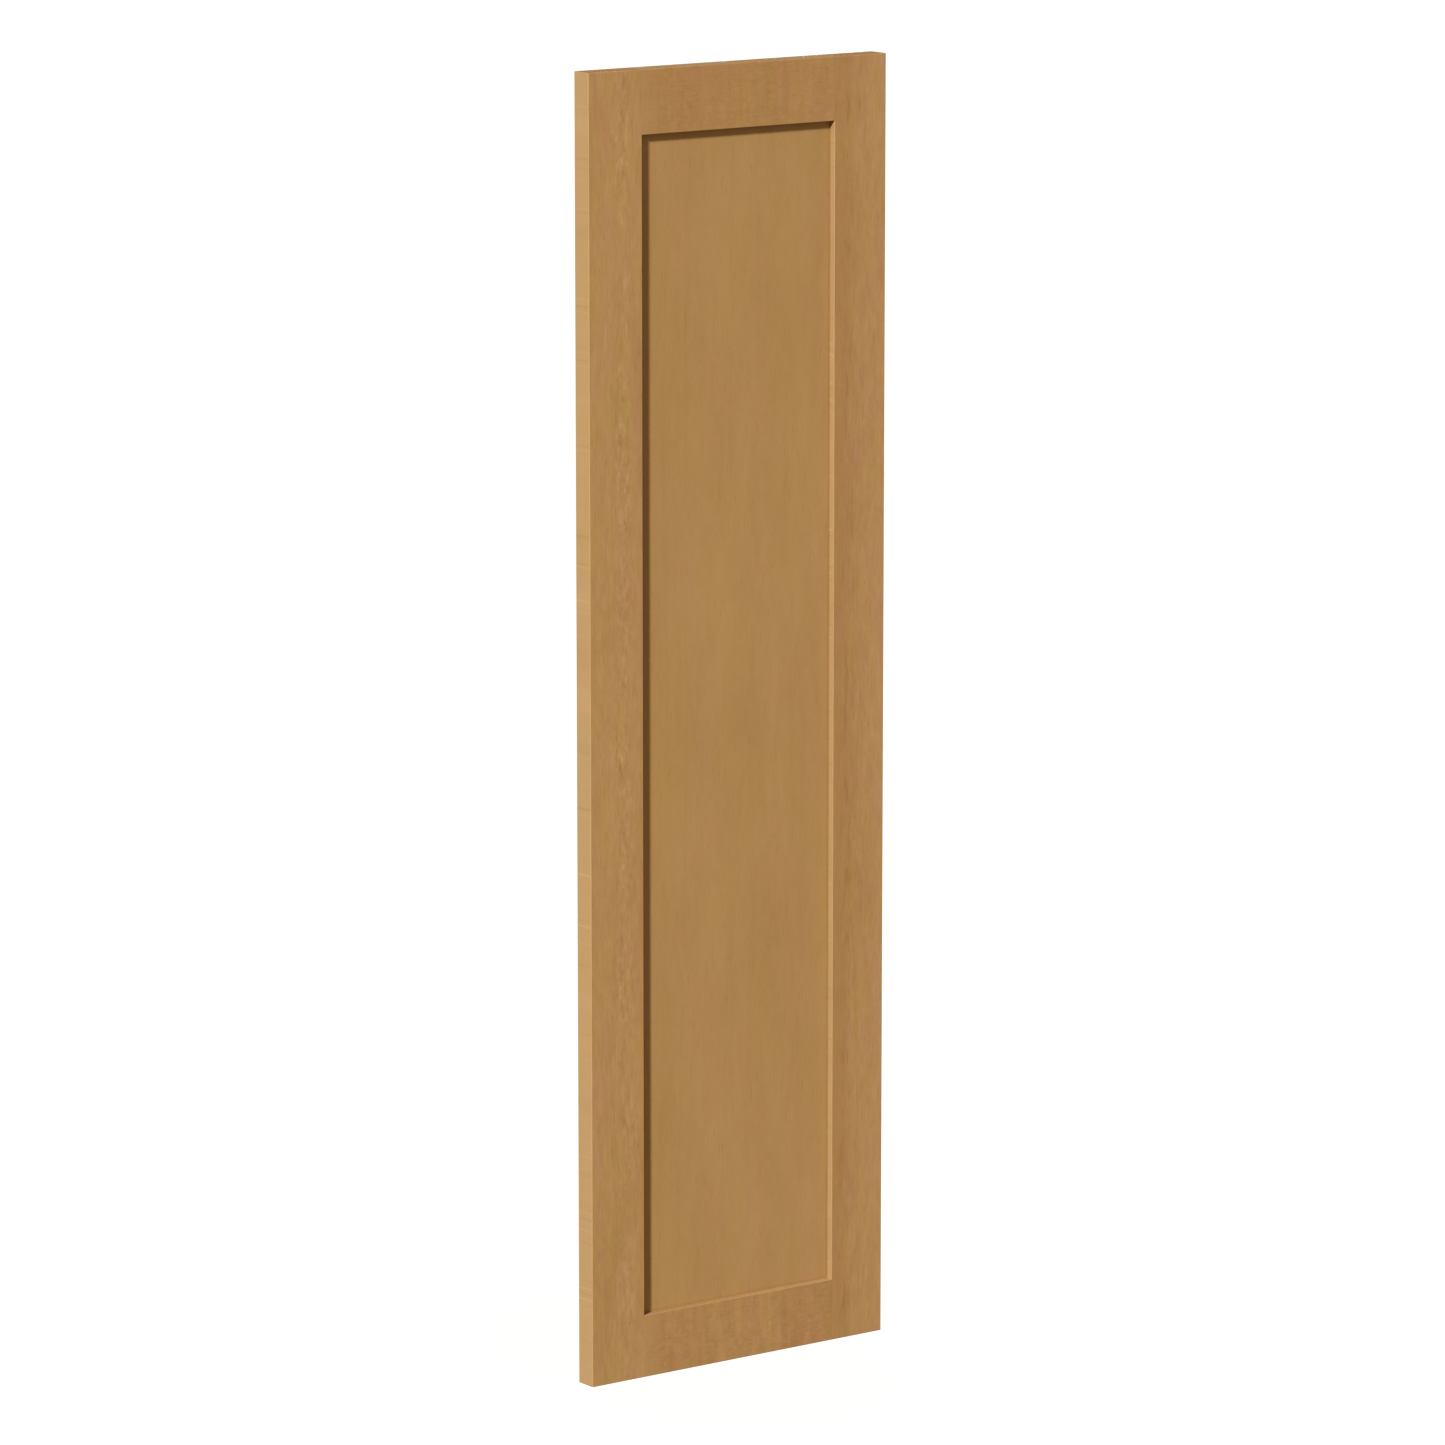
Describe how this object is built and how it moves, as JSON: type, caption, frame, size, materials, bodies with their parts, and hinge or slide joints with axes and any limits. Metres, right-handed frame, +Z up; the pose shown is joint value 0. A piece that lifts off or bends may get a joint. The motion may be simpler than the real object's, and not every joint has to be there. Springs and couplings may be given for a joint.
{
  "type": "cabinet end panel",
  "caption": "Recessed flat-panel (Shaker) wooden end panel that covers the side of a cabinet, a five-piece frame with a floating centre panel.",
  "frame": {"origin": "middle of the bottom edge, halfway through the thickness of the stiles and rails", "axes": "+X to the right across the width as seen from the front, +Y back through the thickness so that the front face looks along -Y, +Z up along the stiles"},
  "size_m": [0.2954, 0.019, 1.0668],
  "materials": {
    "frame_wood": "honey stain under satin lacquer",
    "panel_veneer": "honey stain under satin lacquer",
    "fibreboard": "raw",
    "spacer_rubber": "matt",
    "brad_steel": "plain"
  },
  "bodies": {
    "root": {"left_stile": "frame_wood", "right_stile": "frame_wood", "top_rail": "frame_wood", "bottom_rail": "frame_wood", "panel_core": "fibreboard", "panel_front_veneer": "panel_veneer", "panel_back_veneer": "panel_veneer", "spacer_left_low": "spacer_rubber", "spacer_left_mid": "spacer_rubber", "spacer_left_high": "spacer_rubber", "spacer_right_low": "spacer_rubber", "spacer_right_mid": "spacer_rubber", "spacer_right_high": "spacer_rubber", "spacer_bottom_left": "spacer_rubber", "spacer_bottom_right": "spacer_rubber", "spacer_top_left": "spacer_rubber", "spacer_top_right": "spacer_rubber", "corner_brads": "brad_steel"}
  },
  "joints": []
}
